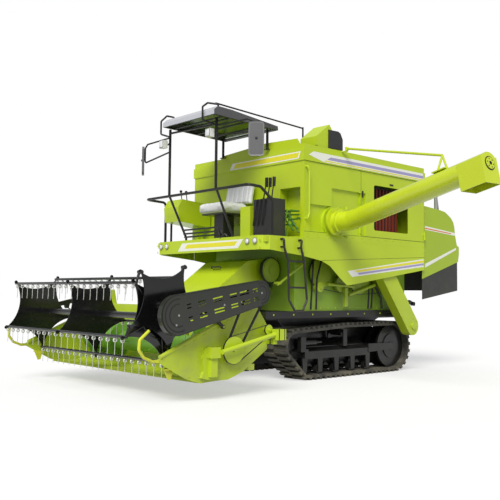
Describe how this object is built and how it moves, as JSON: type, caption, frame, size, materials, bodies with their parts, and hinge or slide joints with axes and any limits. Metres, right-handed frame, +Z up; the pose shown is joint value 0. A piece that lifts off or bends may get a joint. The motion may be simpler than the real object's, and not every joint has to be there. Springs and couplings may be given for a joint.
{
  "type": "combine harvester",
  "caption": "Crawler combine harvester with reel header, open operator's platform under a canopy, grain tank, swung-out unloading tube and straw hood.",
  "frame": {"origin": "on the ground below the middle of the overall box, with the unloading tube swung out", "axes": "+X forward towards the reel, +Y to the machine's left, +Z up"},
  "size_m": [6.9077, 5.4623, 3.7566],
  "materials": {
    "lime_paint": "satin",
    "deep_green_paint": "satin",
    "black_paint": "satin",
    "yellow_paint": "satin",
    "silver_paint": "satin",
    "track_rubber": "matte",
    "curtain_rubber": "matte",
    "steel": "satin",
    "wire": "satin",
    "seat_cover": "satin",
    "lamp_lens": "gloss",
    "black_plastic": "matte",
    "cast_grey": "matte"
  },
  "bodies": {
    "machine": {"track_left": "track_rubber", "track_right": "track_rubber", "track_wheels": "black_paint", "track_frames": "black_paint", "chassis_frame": "black_paint", "transmission": "cast_grey", "thresher_housing": "lime_paint", "drive_pulleys": "lime_paint", "side_shields": "lime_paint", "grain_elevator": "lime_paint", "grain_tank": "lime_paint", "engine_bay": "lime_paint", "radiator": "black_paint", "engine_block": "cast_grey", "straw_hood": "lime_paint", "outlet_curtain": "curtain_rubber", "exhaust_pipe": "steel", "platform": "lime_paint", "front_rails": "black_paint", "ladder": "black_paint", "canopy": "silver_paint", "canopy_frame": "black_paint", "seat": "seat_cover", "consoles": "lime_paint", "control_levers": "black_plastic", "lamps": "lamp_lens", "mirrors": "black_plastic"},
    "header": {"feeder_house": "lime_paint", "header_body": "lime_paint", "cutter_bar": "steel", "crop_dividers": "yellow_paint", "header_drive": "yellow_paint"},
    "auger": {"header_auger": "deep_green_paint"},
    "reel_lift": {"reel_arms": "black_paint", "reel_guard": "black_paint"},
    "reel_rotor": {"reel": "black_paint", "reel_tines": "wire"},
    "header_barrels": {"lift_barrels": "black_paint"},
    "header_rods": {"lift_rods": "steel"},
    "ram_barrels": {"reel_barrels": "black_paint"},
    "ram_rods": {"reel_rods": "steel"},
    "unloader": {"unloader_tube": "lime_paint", "unloader_stay": "lime_paint"},
    "door": {"radiator_door": "lime_paint"}
  },
  "joints": [
    {"name": "header_lift", "type": "hinge", "parent": "machine", "child": "header", "pos_m": [0.478, -1.0895, 1.53], "axis": [0, -1, 0], "range_deg": [0, 22]},
    {"name": "header_barrel_swing", "type": "hinge", "parent": "machine", "child": "header_barrels", "pos_m": [0.528, -1.0895, 0.7], "axis": [0, -1, 0], "range_deg": [0, 22.5]},
    {"name": "header_rod_slide", "type": "slide", "parent": "header_barrels", "child": "header_rods", "axis": [0.9972, 0, -0.0748], "range_m": [0, 0.325]},
    {"name": "auger_spin", "type": "hinge", "parent": "header", "child": "auger", "pos_m": [2.085, -1.0895, 0.553], "axis": [0, 1, 0], "continuous": true},
    {"name": "reel_raise", "type": "hinge", "parent": "header", "child": "reel_lift", "pos_m": [1.756, -1.0895, 1.208], "axis": [0, -1, 0], "range_deg": [0, 15]},
    {"name": "reel_spin", "type": "hinge", "parent": "reel_lift", "child": "reel_rotor", "pos_m": [2.958, -1.0895, 0.94], "axis": [0, 1, 0], "continuous": true},
    {"name": "reel_barrel_swing", "type": "hinge", "parent": "header", "child": "ram_barrels", "pos_m": [2.218, -1.0895, 0.82], "axis": [0, -1, 0], "range_deg": [0, 17.5]},
    {"name": "reel_rod_slide", "type": "slide", "parent": "ram_barrels", "child": "ram_rods", "axis": [0.8075, 0, 0.5898], "range_m": [0, 0.18]},
    {"name": "unloader_swing", "type": "hinge", "parent": "machine", "child": "unloader", "pos_m": [-0.332, 0.1825, 2.215], "axis": [0, 0, -1], "range_deg": [-98, 0]},
    {"name": "radiator_door_swing", "type": "hinge", "parent": "machine", "child": "door", "pos_m": [-2.3505, 0.1135, 2.535], "axis": [0, 0, 1], "range_deg": [0, 100]}
  ],
  "couplings": [
    {"joint": "header_barrel_swing", "follows": "header_lift", "ratio": 0.958},
    {"joint": "header_rod_slide", "follows": "header_lift", "m_per_rad": 0.8254},
    {"joint": "reel_barrel_swing", "follows": "reel_raise", "ratio": 1.1502},
    {"joint": "reel_rod_slide", "follows": "reel_raise", "m_per_rad": 0.5992}
  ]
}
